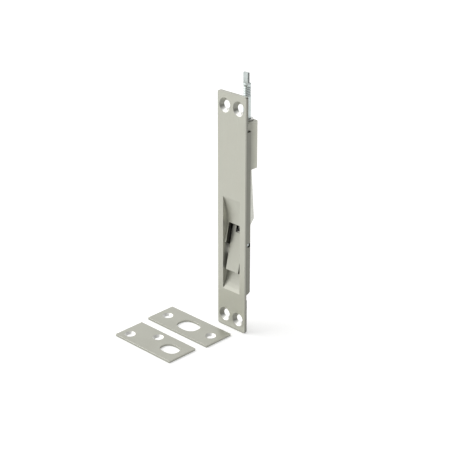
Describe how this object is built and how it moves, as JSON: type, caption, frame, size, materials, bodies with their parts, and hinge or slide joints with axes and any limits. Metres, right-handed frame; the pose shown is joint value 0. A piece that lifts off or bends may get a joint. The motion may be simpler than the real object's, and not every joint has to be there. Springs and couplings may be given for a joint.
{
  "type": "flush bolt",
  "caption": "Lever flush bolt for the edge of a door: faceplate with finger pocket, flip lever, link, guided rod, and its loose strike plate and rub plate.",
  "frame": {"origin": "on the faceplate's back face, midway between its two lower screw holes", "axes": "+X across the faceplate to the right as seen from its front, +Y into the door, +Z along the rod towards its tip"},
  "size_m": [0.0636, 0.0852, 0.1829],
  "materials": {
    "satin_nickel": "satin nickel plate on cast and stamped metal",
    "zinc_plated_steel": "bright zinc plate",
    "bushing_metal": "plain sintered bushing, nickel coloured",
    "nylon": "moulded nylon"
  },
  "bodies": {
    "housing": {"faceplate": "satin_nickel", "lever_case": "satin_nickel", "guide_block": "satin_nickel", "upper_guide_bushing": "bushing_metal", "lower_guide_bushing": "bushing_metal", "lever_pivot_pin": "zinc_plated_steel", "friction_pad": "nylon", "friction_spring": "zinc_plated_steel", "friction_set_screw": "zinc_plated_steel", "case_screw_1": "zinc_plated_steel", "case_screw_2": "zinc_plated_steel", "case_screw_3": "zinc_plated_steel", "case_screw_4": "zinc_plated_steel", "block_screw_1": "zinc_plated_steel", "block_screw_2": "zinc_plated_steel", "block_screw_3": "zinc_plated_steel", "block_screw_4": "zinc_plated_steel"},
    "lever": {"lever": "satin_nickel", "drive_pin": "zinc_plated_steel"},
    "link": {"drive_link": "zinc_plated_steel"},
    "rod": {"rod": "zinc_plated_steel", "link_pin": "zinc_plated_steel"},
    "strike_plate": {"strike_plate": "satin_nickel"},
    "rub_plate": {"rub_plate": "satin_nickel"}
  },
  "joints": [
    {"name": "lever_swing", "type": "hinge", "parent": "housing", "child": "lever", "pos_m": [0, 0.005, 0.0552], "axis": [-1, 0, 0], "range_deg": [0, 144]},
    {"name": "link_turn", "type": "hinge", "parent": "lever", "child": "link", "pos_m": [0, 0.00809, 0.06473], "axis": [-1, 0, 0], "range_deg": [-144, 0]},
    {"name": "rod_throw", "type": "slide", "parent": "housing", "child": "rod", "axis": [0, 0, -1], "range_m": [0, 0.01905]},
    {"name": "strike_plate_lift", "type": "slide", "parent": "housing", "child": "strike_plate", "axis": [0, 0, 1], "range_m": [0, 0.1]},
    {"name": "rub_plate_lift", "type": "slide", "parent": "housing", "child": "rub_plate", "axis": [0, 0, 1], "range_m": [0, 0.1]}
  ],
  "couplings": [
    {"joint": "lever_swing", "follows": "rod_throw", "rad_per_m": 131.93},
    {"joint": "link_turn", "follows": "rod_throw", "rad_per_m": -131.93}
  ]
}
